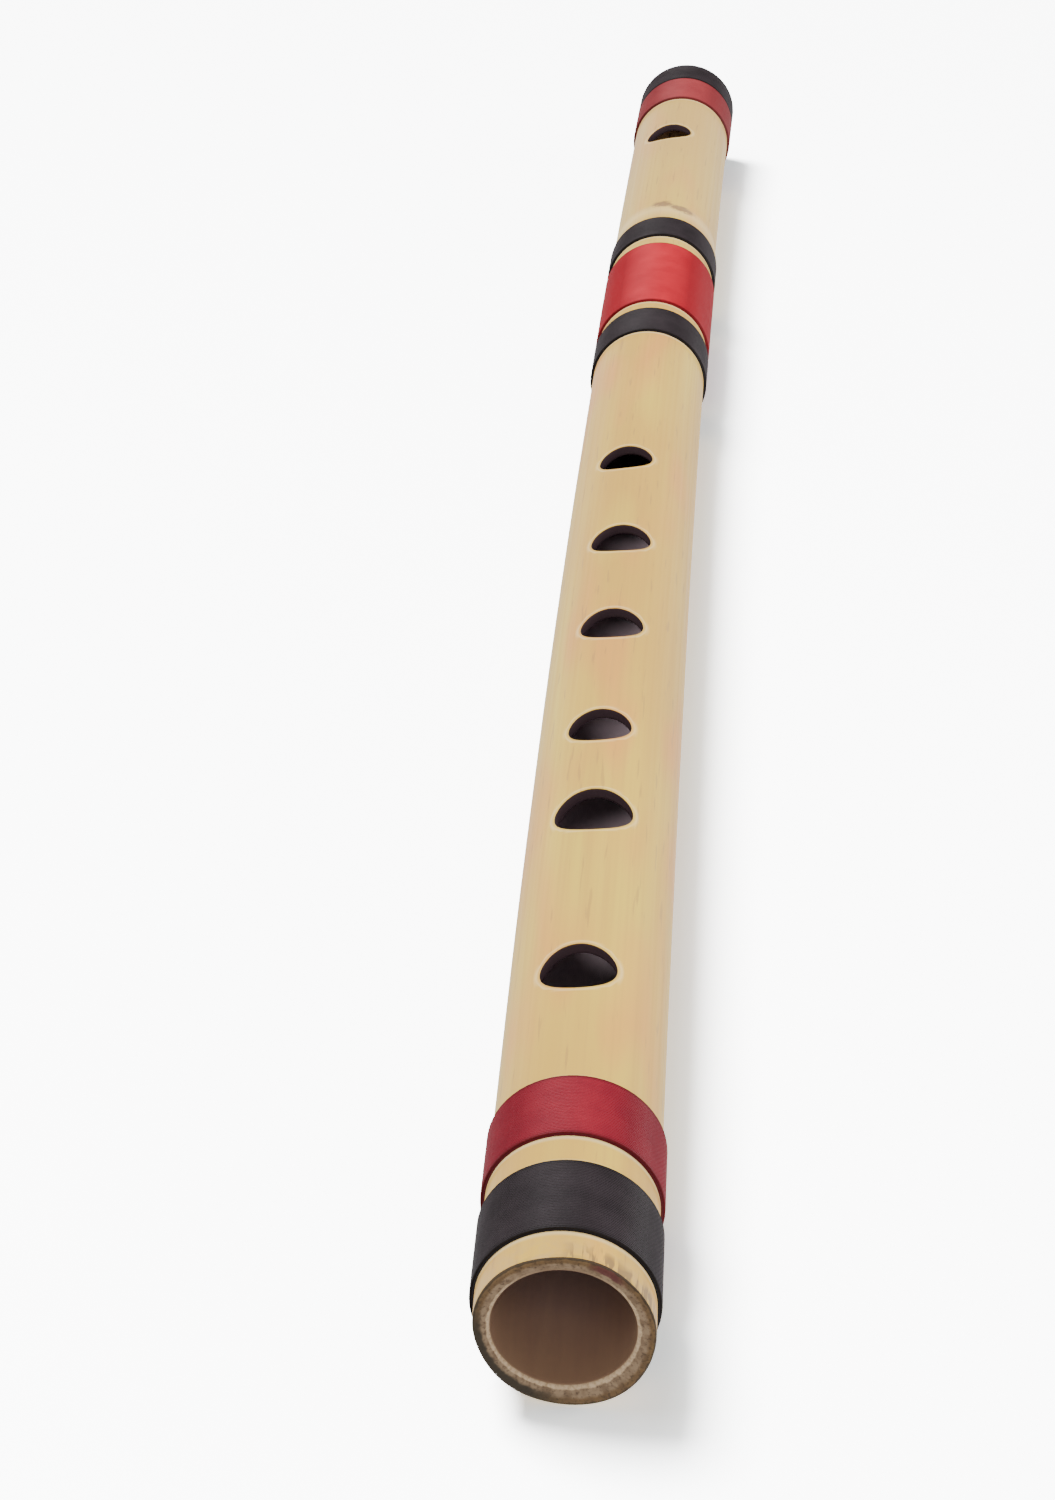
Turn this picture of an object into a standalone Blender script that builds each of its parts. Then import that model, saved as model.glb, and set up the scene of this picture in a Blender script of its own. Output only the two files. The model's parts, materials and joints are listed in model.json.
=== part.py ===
"""Bansuri: a side-blown bamboo flute, bound with black and red thread and stopped with a cork.

Metres, +Z up. The flute lies along Y on the plane Z = 0, its open foot end at -Y and its head
end at +Y, with the row of holes on top. Places along the flute are measured from the foot end.
"""

import math

import bmesh
import bpy
from mathutils import Vector

# Cane
OUTER_RADIUS = 0.0110
WALL = 0.00225  # on average: the bore lies off centre, so the wall is thinner on top
BORE_OFFSET = 0.0006
BOW = 0.0023  # the cane's middle lies this far towards -X from the line between its ends
FOOT_ROUND = 0.0004  # radius of the worn outer edge of the foot end
HEAD_CHAMFER = 0.0003
BORE_CHAMFER = 0.0004
NODE_HEIGHT = 0.0002  # ring left where a node of the cane was filed down
NODE_WIDTH = 0.0040
NODE_SHOULDER = 0.7  # share of the ring's height that is left halfway to its edges

# Bound stretches and bare gaps, in order from the foot end
FOOT_BARE = 0.0051
FOOT_BLACK_WIDTH = 0.0132
FOOT_GAP = 0.0052
FOOT_RED_WIDTH = 0.0121
FOOT_TO_FIRST_HOLE = 0.0254
HOLE_SPACINGS = (0.0405, 0.0250, 0.0335, 0.0315, 0.0335)
LAST_HOLE_TO_MIDDLE = 0.0600
MIDDLE_BLACK_FOOT_WIDTH = 0.0118
MIDDLE_GAP_FOOT = 0.0042
MIDDLE_RED_WIDTH = 0.0330
MIDDLE_GAP_HEAD = 0.0049
MIDDLE_BLACK_HEAD_WIDTH = 0.0108
MIDDLE_TO_NODE = 0.0068
MIDDLE_TO_BLOW_HOLE = 0.0598
BLOW_HOLE_TO_HEAD_RED = 0.0238
HEAD_RED_WIDTH = 0.0150
HEAD_GAP = 0.0003
HEAD_BLACK_WIDTH = 0.0104
HEAD_LIP = 0.0005

# Holes: diameters from the foot end, and how far each is turned towards -X, in degrees
FINGER_HOLE_DIAMETERS = (0.0105, 0.0115, 0.0097, 0.0102, 0.0102, 0.0096)
FINGER_HOLE_TURNS = (6.3, 5.3, 6.5, 4.9, 4.7, 8.6)
BLOW_HOLE_DIAMETER = 0.0102
BLOW_HOLE_TURN = 11.1

# Thread windings: a sleeve of inner layers, and the outer layer as one pressed cord
WINDING_CLEARANCE = 0.00025
SLEEVE_WALL = 0.00025
CORD_PITCH = 0.0037  # about: each winding takes the pitch nearest to it that fills its width
CORD_GAP = 0.0005
CORD_HEIGHT = 0.0002  # of the cord's flat top over the sleeve
CORD_SINK = 0.00005  # of its centre line under the sleeve's surface
CORD_END_DEPTH = 0.00015  # that its ends run down into the sleeve, from the centre line
CORD_END_MARGIN = 0.00015
CORD_START_ANGLE = math.radians(45)
CORD_TILT = math.radians(30)  # turns the cord's six sides so that a flat one is on top
REST_CUT = 0.0001  # the undersides are cut flat by this much, where the flute lies on them

# Cork stopper
CORK_LENGTH = 0.0200
CORK_CLEARANCE = 0.0003
CORK_CHAMFER = 0.0008
BLOW_HOLE_TO_CORK = 0.0175

# Fineness of the round shapes
CANE_SIDES = 48
CANE_SPANS = 12
SLEEVE_SIDES = 24  # also the cord's points in one turn, so that each lies over a flat
HOLE_SIDES = 32
ROUND_STEPS = 4
CUT_MARGIN = 0.0020
WELD = 1e-6
CANE_SMOOTH_ANGLE = math.radians(35)
WINDING_SMOOTH_ANGLE = math.radians(16)  # keeps the grooves between the cord's turns crisp

# Places worked out from the stretches above
FOOT_RED_START = FOOT_BARE + FOOT_BLACK_WIDTH + FOOT_GAP
FIRST_HOLE = FOOT_RED_START + FOOT_RED_WIDTH + FOOT_TO_FIRST_HOLE
MIDDLE_START = FIRST_HOLE + sum(HOLE_SPACINGS) + LAST_HOLE_TO_MIDDLE
MIDDLE_RED_START = MIDDLE_START + MIDDLE_BLACK_FOOT_WIDTH + MIDDLE_GAP_FOOT
MIDDLE_BLACK_HEAD_START = MIDDLE_RED_START + MIDDLE_RED_WIDTH + MIDDLE_GAP_HEAD
MIDDLE_END = MIDDLE_BLACK_HEAD_START + MIDDLE_BLACK_HEAD_WIDTH
BLOW_HOLE = MIDDLE_END + MIDDLE_TO_BLOW_HOLE
HEAD_RED_START = BLOW_HOLE + BLOW_HOLE_TO_HEAD_RED
HEAD_BLACK_START = HEAD_RED_START + HEAD_RED_WIDTH + HEAD_GAP
LENGTH = HEAD_BLACK_START + HEAD_BLACK_WIDTH + HEAD_LIP

BORE_RADIUS = OUTER_RADIUS - WALL
SLEEVE_INNER = OUTER_RADIUS + WINDING_CLEARANCE
SLEEVE_OUTER = SLEEVE_INNER + SLEEVE_WALL
CORD_RADIUS = SLEEVE_OUTER - CORD_SINK
WINDING_RADIUS = SLEEVE_OUTER + CORD_HEIGHT
AXIS_HEIGHT = WINDING_RADIUS - REST_CUT

# Name, start and width of each winding, and the colour of its thread
WINDINGS = (
    ("foot_black_winding", FOOT_BARE, FOOT_BLACK_WIDTH, "black"),
    ("foot_red_winding", FOOT_RED_START, FOOT_RED_WIDTH, "red"),
    ("middle_foot_side_black_winding", MIDDLE_START, MIDDLE_BLACK_FOOT_WIDTH, "black"),
    ("middle_red_winding", MIDDLE_RED_START, MIDDLE_RED_WIDTH, "red"),
    ("middle_head_side_black_winding", MIDDLE_BLACK_HEAD_START, MIDDLE_BLACK_HEAD_WIDTH, "black"),
    ("head_red_winding", HEAD_RED_START, HEAD_RED_WIDTH, "red"),
    ("head_black_winding", HEAD_BLACK_START, HEAD_BLACK_WIDTH, "black"),
)


def clear_scene():
    for obj in list(bpy.data.objects):
        bpy.data.objects.remove(obj, do_unlink=True)


def new_collection(name):
    collection = bpy.data.collections.new(name)
    bpy.context.scene.collection.children.link(collection)
    return collection


def linear(channel):
    """One 0 to 255 display value as linear light."""
    value = channel / 255
    return value / 12.92 if value <= 0.04045 else ((value + 0.055) / 1.055) ** 2.4


def material(name, colour, roughness):
    made = bpy.data.materials.new(name)
    made.use_nodes = True
    shader = made.node_tree.nodes["Principled BSDF"]
    shader.inputs["Base Color"].default_value = (*map(linear, colour), 1.0)
    shader.inputs["Roughness"].default_value = roughness
    shader.inputs["Metallic"].default_value = 0.0
    return made


def bow(along):
    """Sideways place of the cane's centre line, half of the bow to each side of X = 0."""
    share = along / LENGTH
    return BOW * (0.5 - 4 * share * (1 - share))


def bow_slope(along):
    return BOW * 4 * (2 * along / LENGTH - 1) / LENGTH


def new_object(name, mesh, collection, parent):
    obj = bpy.data.objects.new(name, mesh)
    collection.objects.link(obj)
    obj.parent = parent
    return obj


def make_helper(obj):
    obj.hide_render = True
    obj.display_type = "WIRE"


def shade_smooth(mesh, angle):
    mesh.shade_smooth()
    mesh.set_sharp_from_angle(angle=angle)


def baked(obj):
    """The object's evaluated mesh, welded, as a new mesh. The object itself is removed."""
    bpy.context.view_layer.update()
    graph = bpy.context.evaluated_depsgraph_get()
    mesh = bpy.data.meshes.new_from_object(obj.evaluated_get(graph))
    mesh.name = obj.name
    bpy.data.objects.remove(obj, do_unlink=True)
    work = bmesh.new()
    work.from_mesh(mesh)
    bmesh.ops.remove_doubles(work, verts=work.verts, dist=WELD)
    work.to_mesh(mesh)
    work.free()
    return mesh


def turned(name, profile, sides, collection, closed=True):
    """Mesh of a profile of (radius, along) points, turned about the flute's axis.

    The profile runs down its outer side from the head end to the foot end.
    """
    count = len(profile)
    edges = [(i, i + 1) for i in range(count - 1)]
    if closed:
        edges.append((count - 1, 0))
    mesh = bpy.data.meshes.new(name)
    mesh.from_pydata([(radius, 0, along) for radius, along in profile], edges, [])
    obj = bpy.data.objects.new(name, mesh)
    collection.objects.link(obj)
    screw = obj.modifiers.new("Turn", "SCREW")
    screw.steps = screw.render_steps = sides
    screw.use_merge_vertices = True
    screw.merge_threshold = WELD
    return baked(obj)


def follow_bow(mesh):
    for vertex in mesh.vertices:
        vertex.co.x += bow(vertex.co.z)


def offset_bore(mesh):
    """Moves what lies inside the middle of the flat foot face: the bore and its chamfers."""
    middle_of_face = (BORE_RADIUS + BORE_CHAMFER + OUTER_RADIUS - FOOT_ROUND) / 2
    for vertex in mesh.vertices:
        if math.hypot(vertex.co.x, vertex.co.y) < middle_of_face:
            vertex.co.y -= BORE_OFFSET


def rounded_corner(radius, along, size):
    """Points of a quarter round on the outer edge of the foot end, down to the end face."""
    points = []
    for step in range(ROUND_STEPS + 1):
        angle = math.pi / 2 * step / ROUND_STEPS
        points.append((radius - size + size * math.cos(angle), along + size - size * math.sin(angle)))
    return points


def evenly(first, last, spans):
    """Places between two ends, without the ends."""
    return [first + (last - first) * step / spans for step in range(1, spans)]


def cane_profile():
    node = MIDDLE_END + MIDDLE_TO_NODE
    ring = [node + NODE_WIDTH / 2, node + NODE_WIDTH / 4, node, node - NODE_WIDTH / 4, node - NODE_WIDTH / 2]
    shoulder = NODE_SHOULDER * NODE_HEIGHT
    heights = [0, shoulder, NODE_HEIGHT, shoulder, 0]
    stretches = [place for place in evenly(LENGTH, 0, CANE_SPANS) if abs(place - node) > NODE_WIDTH]
    outer = [(place, OUTER_RADIUS) for place in stretches]
    outer += [(place, OUTER_RADIUS + height) for place, height in zip(ring, heights)]
    outer.sort(reverse=True)
    profile = [(OUTER_RADIUS - HEAD_CHAMFER, LENGTH), (OUTER_RADIUS, LENGTH - HEAD_CHAMFER)]
    profile += [(radius, place) for place, radius in outer]
    profile += rounded_corner(OUTER_RADIUS, 0, FOOT_ROUND)
    profile += [(BORE_RADIUS + BORE_CHAMFER, 0), (BORE_RADIUS, BORE_CHAMFER)]
    profile += [(BORE_RADIUS, place) for place in evenly(0, LENGTH, CANE_SPANS)]
    profile += [(BORE_RADIUS, LENGTH - BORE_CHAMFER), (BORE_RADIUS + BORE_CHAMFER, LENGTH)]
    return profile


def hole_cutter(name, place, diameter, turn, collection, parent):
    """A rod that passes through the top wall only, from inside the bore to above the cane."""
    inner = BORE_RADIUS / 2
    outer = OUTER_RADIUS + CUT_MARGIN
    mesh = bpy.data.meshes.new(name)
    work = bmesh.new()
    bmesh.ops.create_cone(
        work,
        cap_ends=True,
        segments=HOLE_SIDES,
        radius1=diameter / 2,
        radius2=diameter / 2,
        depth=outer - inner,
    )
    work.to_mesh(mesh)
    work.free()
    cutter = new_object(name, mesh, collection, parent)
    angle = math.radians(turn)
    upwards = Vector((-math.sin(angle), -math.cos(angle), 0))
    cutter.rotation_euler = upwards.to_track_quat("Z", "X").to_euler()
    cutter.location = Vector((bow(place), 0, place)) + upwards * (inner + outer) / 2
    make_helper(cutter)
    return cutter


def cut(obj, cutter, operation="DIFFERENCE"):
    boolean = obj.modifiers.new(cutter.name, "BOOLEAN")
    boolean.operation = operation
    boolean.solver = "EXACT"
    boolean.object = cutter


def hole_list():
    """Name, place, diameter and turn of every hole, the finger holes numbered from the head end."""
    place = FIRST_HOLE
    places = [place]
    for spacing in HOLE_SPACINGS:
        place += spacing
        places.append(place)
    count = len(places)
    holes = [
        (f"finger_hole_{count - index}", *values)
        for index, values in enumerate(zip(places, FINGER_HOLE_DIAMETERS, FINGER_HOLE_TURNS))
    ]
    return holes + [("blow_hole", BLOW_HOLE, BLOW_HOLE_DIAMETER, BLOW_HOLE_TURN)]


def make_cane(parts, cutters, axis, cane):
    mesh = turned("bamboo_tube", cane_profile(), CANE_SIDES, parts)
    offset_bore(mesh)
    follow_bow(mesh)
    mesh.materials.append(cane)
    tube = new_object("bamboo_tube", mesh, parts, axis)
    for name, place, diameter, turn in hole_list():
        cut(tube, hole_cutter(name, place, diameter, turn, cutters, axis))
    shade_smooth(mesh, CANE_SMOOTH_ANGLE)


def cord_layout(width):
    """Turns of the outer layer, its pitch and the width of its cord, for a winding this wide."""
    room = width - 2 * CORD_END_MARGIN + CORD_GAP
    turns = max(1, round(room / CORD_PITCH) - 1)
    pitch = room / (turns + 1)
    return turns, pitch, pitch - CORD_GAP


def cord_points(start, width):
    """Centre line of the outer layer: a helix whose ends turn straight down into the sleeve."""
    turns, pitch, cord_width = cord_layout(width)
    first = start + CORD_END_MARGIN + cord_width / 2
    points = []
    for step in range(turns * SLEEVE_SIDES + 1):
        turn = step / SLEEVE_SIDES
        angle = CORD_START_ANGLE + 2 * math.pi * turn
        outwards = Vector((math.cos(angle), math.sin(angle), 0))
        points.append(outwards * CORD_RADIUS + Vector((0, 0, first + pitch * turn)))
    dive = Vector((math.cos(CORD_START_ANGLE), math.sin(CORD_START_ANGLE), 0)) * cord_width
    return [points[0] - dive, *points, points[-1] - dive]


def least_gap(points, cord_width):
    """Least clear distance between neighbouring turns of the cord."""
    helix = points[1:-1]
    apart = SLEEVE_SIDES // 2
    return min(
        (helix[i] - helix[j]).length - cord_width
        for i in range(len(helix))
        for j in range(i + apart, len(helix))
    )


def cord_mesh(name, points, cord_width, collection):
    """The cord as one unbroken tube of six sides, pressed flat against the sleeve."""
    curve = bpy.data.curves.new(name, "CURVE")
    curve.dimensions = "3D"
    curve.twist_mode = "Z_UP"
    curve.bevel_depth = cord_width / 2
    curve.bevel_resolution = 1
    curve.use_fill_caps = True
    spline = curve.splines.new("POLY")
    spline.points.add(len(points) - 1)
    for point, place in zip(spline.points, points):
        point.co = (*place, 1)
        point.tilt = CORD_TILT
    obj = bpy.data.objects.new(name, curve)
    collection.objects.link(obj)
    mesh = baked(obj)
    half_height = cord_width / 2 * math.cos(CORD_TILT)
    outwards = (WINDING_RADIUS - CORD_RADIUS) / half_height
    inwards = CORD_END_DEPTH / cord_width
    for vertex in mesh.vertices:
        radius = math.hypot(vertex.co.x, vertex.co.y)
        offset = radius - CORD_RADIUS
        pressed = CORD_RADIUS + offset * (outwards if offset > 0 else inwards)
        vertex.co.x *= pressed / radius
        vertex.co.y *= pressed / radius
    return mesh


def make_winding(name, start, width, thread, parts, cutters, axis, floor):
    end = start + width
    profile = [(SLEEVE_OUTER, end), (SLEEVE_OUTER, start), (SLEEVE_INNER, start), (SLEEVE_INNER, end)]
    mesh = turned(name, profile, SLEEVE_SIDES, parts)
    follow_bow(mesh)
    mesh.materials.append(thread)
    winding = new_object(name, mesh, parts, axis)
    points = cord_points(start, width)
    cord_width = cord_layout(width)[2]
    print(f"{name}: least gap to itself {least_gap(points, cord_width) * 1000:.2f} mm")
    layer = cord_mesh(name + "_cord", points, cord_width, cutters)
    follow_bow(layer)
    shade_smooth(layer, WINDING_SMOOTH_ANGLE)
    layer.materials.append(thread)
    cord = new_object(name + "_cord", layer, cutters, axis)
    make_helper(cord)
    cut(winding, cord, "UNION")
    cut(winding, floor)
    shade_smooth(mesh, WINDING_SMOOTH_ANGLE)


def make_floor_cutter(cutters):
    """A block under the plane Z = 0, which cuts the windings flat where the flute lies on them."""
    bpy.ops.mesh.primitive_cube_add(size=1)
    block = bpy.context.object
    block.name = "floor_cutter"
    reach = OUTER_RADIUS + BOW
    block.scale = (4 * reach, LENGTH + 2 * reach, 2 * reach)
    block.location = (0, 0, -reach)
    for owner in list(block.users_collection):
        owner.objects.unlink(block)
    cutters.objects.link(block)
    make_helper(block)
    return block


def make_cork(parts, axis, cork):
    """The stopper's origin is at the middle of its axis, which is also the line it slides along."""
    radius = BORE_RADIUS - CORK_CLEARANCE
    half = CORK_LENGTH / 2
    rim = radius - CORK_CHAMFER
    edge = half - CORK_CHAMFER
    profile = [(0, half), (rim, half), (radius, edge), (radius, -edge), (rim, -half), (0, -half)]
    mesh = turned("cork_stopper", profile, CANE_SIDES, parts, closed=False)
    mesh.materials.append(cork)
    stopper = new_object("cork_stopper", mesh, parts, axis)
    middle = BLOW_HOLE + BLOW_HOLE_TO_CORK + half
    stopper.location = (bow(middle), -BORE_OFFSET, middle)
    stopper.rotation_euler = (0, math.atan(bow_slope(middle)), 0)
    shade_smooth(mesh, CANE_SMOOTH_ANGLE)


def main():
    clear_scene()
    parts = new_collection("bansuri")
    cutters = new_collection("cutters")
    axis = bpy.data.objects.new("flute_axis", None)
    parts.objects.link(axis)
    axis.location = (0, -LENGTH / 2, AXIS_HEIGHT)
    axis.rotation_euler = (-math.pi / 2, 0, 0)
    cane = material("bamboo", (217, 190, 143), 0.32)
    threads = {
        "red": material("red_thread", (192, 66, 70), 0.5),
        "black": material("black_thread", (52, 46, 54), 0.45),
    }
    floor = make_floor_cutter(cutters)
    make_cane(parts, cutters, axis, cane)
    for name, start, width, colour in WINDINGS:
        make_winding(name, start, width, threads[colour], parts, cutters, axis, floor)
    make_cork(parts, axis, material("cork", (178, 136, 94), 0.85))


main()
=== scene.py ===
"""Looks of a bansuri: a side-blown bamboo flute, bound with fine black and red thread.

Metres, in the frame's own axes: the flute lies along Y on the plane Z = 0. A place is a distance
along the flute from its foot end. A turn is an angle round it in radians, from the top towards +X.
"""

import json
import math

import bpy
import numpy as np
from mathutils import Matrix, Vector


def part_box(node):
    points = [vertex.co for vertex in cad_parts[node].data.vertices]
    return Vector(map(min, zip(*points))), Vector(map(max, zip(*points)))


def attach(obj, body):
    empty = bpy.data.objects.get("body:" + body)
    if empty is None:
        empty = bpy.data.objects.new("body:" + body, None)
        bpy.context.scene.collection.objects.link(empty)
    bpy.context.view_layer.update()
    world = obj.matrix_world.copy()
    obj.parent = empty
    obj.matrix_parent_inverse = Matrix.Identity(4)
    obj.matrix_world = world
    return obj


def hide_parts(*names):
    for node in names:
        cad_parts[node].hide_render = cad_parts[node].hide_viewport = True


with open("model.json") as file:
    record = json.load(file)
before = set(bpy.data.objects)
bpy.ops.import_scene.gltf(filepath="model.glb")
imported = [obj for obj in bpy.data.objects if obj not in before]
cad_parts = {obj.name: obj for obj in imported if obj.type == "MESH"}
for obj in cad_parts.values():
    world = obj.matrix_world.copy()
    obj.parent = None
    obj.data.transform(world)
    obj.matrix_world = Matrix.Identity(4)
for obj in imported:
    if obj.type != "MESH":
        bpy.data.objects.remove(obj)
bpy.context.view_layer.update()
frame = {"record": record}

MM = 0.001
TAU = 2 * math.pi

# The cane, from the frame's tube
CANE_RADIUS = 11.0 * MM
BORE_RADIUS = 8.75 * MM
TUBE_LOW, TUBE_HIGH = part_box("bamboo_tube")
CORK_LOW, CORK_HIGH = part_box("cork_stopper")
LENGTH = TUBE_HIGH.y - TUBE_LOW.y
BOW = TUBE_HIGH.x - TUBE_LOW.x - 2 * CANE_RADIUS
AXIS_HEIGHT = (TUBE_LOW.z + TUBE_HIGH.z) / 2
BORE_OFFSET = (CORK_LOW.z + CORK_HIGH.z) / 2 - AXIS_HEIGHT
BORE_HEAD_REACH = (LENGTH - 36 * MM, LENGTH - 24 * MM)  # over which the bore turns browner at the head
SWELL = 0.17 * MM  # the cane is this much thicker halfway between the lower and middle windings
NODE_HEIGHT = 0.22 * MM
NODE_HALF_WIDTH = 1.5 * MM
NODE_TO_WINDING = 6.8 * MM
SKIN_UNEVENNESS = 0.03 * MM

# The foot end is slightly out of round: height, turn and half width of a bulge and of a flat
FOOT_SHAPE_REACH = 3.5 * MM  # how far up from the foot end
FOOT_BULGE = (0.60 * MM, math.radians(150), math.radians(34))
FOOT_FLAT = (-0.28 * MM, math.radians(248), math.radians(28))

# Wear near the foot end: the places where each mark begins to fade, and ends
SMUDGE_REACH = (2.0 * MM, 5.0 * MM)
SCRATCH_REACH = (3.2 * MM, 4.8 * MM)
SCRATCH_RAGGEDNESS = 3.0 * MM
BORE_FOOT_REACH = (12 * MM, 50 * MM)
BORE_EDGE_REACH = 14 * MM

# Holes: diameter, and how far each is turned towards -X
HOLES = {
    "finger_hole_6": (10.5 * MM, math.radians(6.3)),
    "finger_hole_5": (11.5 * MM, math.radians(5.3)),
    "finger_hole_4": (9.7 * MM, math.radians(6.5)),
    "finger_hole_3": (10.2 * MM, math.radians(4.9)),
    "finger_hole_2": (10.2 * MM, math.radians(4.7)),
    "finger_hole_1": (9.6 * MM, math.radians(8.6)),
    "blow_hole": (10.2 * MM, math.radians(11.1)),
}
HOLE_EASING = 0.12 * MM  # radius of the worn outer edge of a hole
HOLE_INNER_EASING = 0.20 * MM
WORN_REACH = 0.65 * MM  # how far the paler, worn tint spreads from a hole's edge over the skin

# Fineness of the cane's mesh
COLUMNS = 96
WINDOW = 13  # columns and rows from a hole's middle to the edge of its patch
WINDOW_STEP = 0.6 * MM
PLAIN_STEP = 2.0 * MM
SKIN_RINGS = 6  # rings of points in a hole's patch, from the skin through the wall to the bore
EASING_RINGS = 5
WALL_SPANS = 4
INNER_EASING_RINGS = 3
BORE_RINGS = 3
SKIN_START = 0.8 * MM  # where the foot end's worn rim turns into the plain skin
SKIN_END = 0.8 * MM  # the same, from the head end
SAWN_EDGE_REACH = 1.5 * MM  # how far the mark of the cut fades over the skin

# Profiles of the two end rims: share of the wall from bore to skin, and depth in mm behind the end face
FOOT_RIM = (
    (0.00, 0.45), (0.00, 0.16), (0.03, 0.05), (0.09, 0.00), (0.22, 0.00), (0.36, 0.00), (0.50, 0.02),
    (0.64, 0.04), (0.76, 0.07), (0.86, 0.12), (0.93, 0.20), (0.975, 0.33), (0.995, 0.52),
)
HEAD_RIM = (
    (0.00, 0.50), (0.00, 0.25), (0.05, 0.06), (0.15, 0.00), (0.35, 0.00), (0.55, 0.00), (0.75, 0.02),
    (0.88, 0.08), (0.96, 0.22), (0.99, 0.42),
)
RIM_WAVES = range(2, 9)  # waves round a rim
RIM_WAVE_SIZE = 0.10  # spread of the waves' heights, as a share of the rim's depth
FOOT_RIM_SEED = 3
HEAD_RIM_SEED = 4

# Thread
THREAD_WIDTH = 0.36 * MM  # pressed flat where it is wound on tightly
THREAD_HEIGHT = 0.27 * MM
THREAD_PITCH = 0.30 * MM
THREAD_TWIST = 0.55 * MM  # length of thread in which its strands go once round
WINDING_RADIUS = AXIS_HEIGHT  # the windings carry the flute, so they just touch the plane Z = 0
THREAD_STEPS = 64  # points in one turn
THREAD_SIDES = 6
RADIUS_JITTER = 0.006 * MM
PLACE_JITTER = 0.010 * MM
THREAD_TAIL = 5  # points over which an end of the thread dives under the winding
UNDER_LAYER_DROP = 0.8 * THREAD_HEIGHT  # how far the inner layers stay below a winding's surface
UNDER_LAYER_INSET = 0.30 * THREAD_WIDTH
UNDER_LAYER_SINK = 0.05 * MM  # how far they reach into the cane, so that no gap shows
EDGE_SHADE_REACH = 0.6 * MM  # how far the painted shade at an end of a winding reaches into it
PALE_BESIDE_REACH = (0.25 * MM, 0.80 * MM)  # where the paler cane beside a winding begins to fade, and ends
GAP_REACH = (0.3 * MM, 0.5 * MM)  # the same for the shade in the narrow gap at the head
FIRST_THREAD_SEED = 20

# Cork
CORK_RADIUS = 8.62 * MM
CORK_CHAMFER = 0.7 * MM
CORK_ROWS = 44
CORK_RINGS = 14  # on each end face
CORK_PITS = 70
PIT_SIZES = (0.3 * MM, 0.8 * MM)
PIT_DEPTHS = (0.10 * MM, 0.35 * MM)
PIT_SEED = 9

# The photograph's view: from beyond the foot end, looking down along the flute
CAMERA_PLACE = (0.01806, -0.50267, 0.24788)
CAMERA_YAW = math.radians(-4.431)
CAMERA_PITCH = math.radians(29.893)
CAMERA_LENS = 72.365

# Lights: place, aim, size in metres and power in watts
LIGHTS = {
    "key": ((-0.40, 0.10, 0.98), (0.0, 0.0, 0.0), 0.8, 24),
    "fill": ((0.10, -0.95, 0.60), (0.0, -0.2, 0.0), 0.6, 4),
    "side": ((0.92, 0.05, 0.22), (0.0, 0.0, 0.0), 0.5, 11),
}
ROOM_LIGHT_LOW, ROOM_LIGHT_HIGH = 1.45, 0.3  # strengths of the room from the horizon down, and higher up
ROOM_FADE_END = 0.35  # upward part of a direction from which on the second strength holds
BACKDROP_STRENGTH = 7.0  # of the room as the camera sees it, so that it meets the floor in white
FLOOR_LIGHT_DIRECTION = (0.50, -0.44, -1.0)
FLOOR_LIGHT_STRENGTH = 32  # of a sun that lights the floor alone
FLOOR_LIGHT_ANGLE = math.radians(26)
FLOOR_HALF = 4.0
FLOOR_CELLS = 8

# Colours, as display values from 0 to 255
COLOURS = {
    "straw": (186, 138, 10),
    "gold": (202, 162, 14),
    "pink blush": (204, 124, 26),
    "pale patch": (208, 180, 22),
    "brown band": (177, 125, 12),
    "fibre": (168, 118, 34),
    "head-side straw": (182, 148, 82),
    "dark dash": (132, 84, 38),
    "filed node": (226, 198, 140),
    "node fleck": (104, 62, 14),
    "clean cane": (206, 184, 138),
    "narrow gap": (52, 22, 24),
    "smudge": (170, 132, 78),
    "scratch": (96, 58, 8),
    "sawn edge": (64, 48, 26),
    "worn hole edge": (238, 214, 160),
    "scorched wall": (68, 53, 57),
    "end grain": (132, 110, 86),
    "outer end grain": (102, 79, 50),
    "dirty end grain": (84, 64, 44),
    "vessel": (54, 40, 26),
    "grime_and_shade": (42, 37, 28),
    "red stain": (82, 38, 38),
    "pale lip": (182, 157, 125),
    "grained lip": (148, 122, 92),
    "shaded upper lip": (108, 85, 64),
    "outer rim": (50, 38, 22),
    "dark bore": (130, 113, 119),
    "light bore": (142, 124, 128),
    "bore patch": (134, 118, 123),
    "shaded bore floor": (124, 108, 114),
    "dark bore end": (132, 105, 95),
    "light bore end": (144, 117, 101),
    "lit upper bore end": (184, 150, 136),
    "foot bore edge": (158, 124, 88),
    "crimson": (122, 26, 41),
    "light crimson": (146, 38, 50),
    "red": (162, 28, 40),
    "light red": (190, 42, 52),
    "dull red": (126, 46, 50),
    "light dull red": (146, 58, 60),
    "black": (33, 28, 30),
    "light black": (50, 43, 46),
    "pink sheen": (255, 140, 130),
    "grey sheen": (170, 150, 190),
    "dark cork": (168, 122, 80),
    "light cork": (206, 166, 120),
    "cork pore": (84, 52, 32),
    "cool white": (246, 247, 248),
    "white": (249, 249, 249),
}
FLOOR_GLOW = (0.93, 1.0, 0.98, 1.0)  # lightens the shadow and cools it, as in the photograph
FLOOR_GLOW_STRENGTH = 0.50


def bow(place):
    """Sideways place of the centre line, as in the frame's tube."""
    share = place / LENGTH
    return BOW * (0.5 - 4 * share * (1 - share))


def wrap(radius, turn, place, lift=0.0):
    """Points at a radius and turn round the centre line, raised by lift."""
    radius, turn, place, lift = np.broadcast_arrays(radius, turn, place, lift)
    return np.stack(
        [
            bow(place) + radius * np.sin(turn),
            place - LENGTH / 2,
            AXIS_HEIGHT + lift + radius * np.cos(turn),
        ],
        axis=-1,
    )


def place_of(y):
    return y + LENGTH / 2


def winding_ends(node):
    low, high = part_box(node)
    return place_of(low.y), place_of(high.y)


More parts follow.
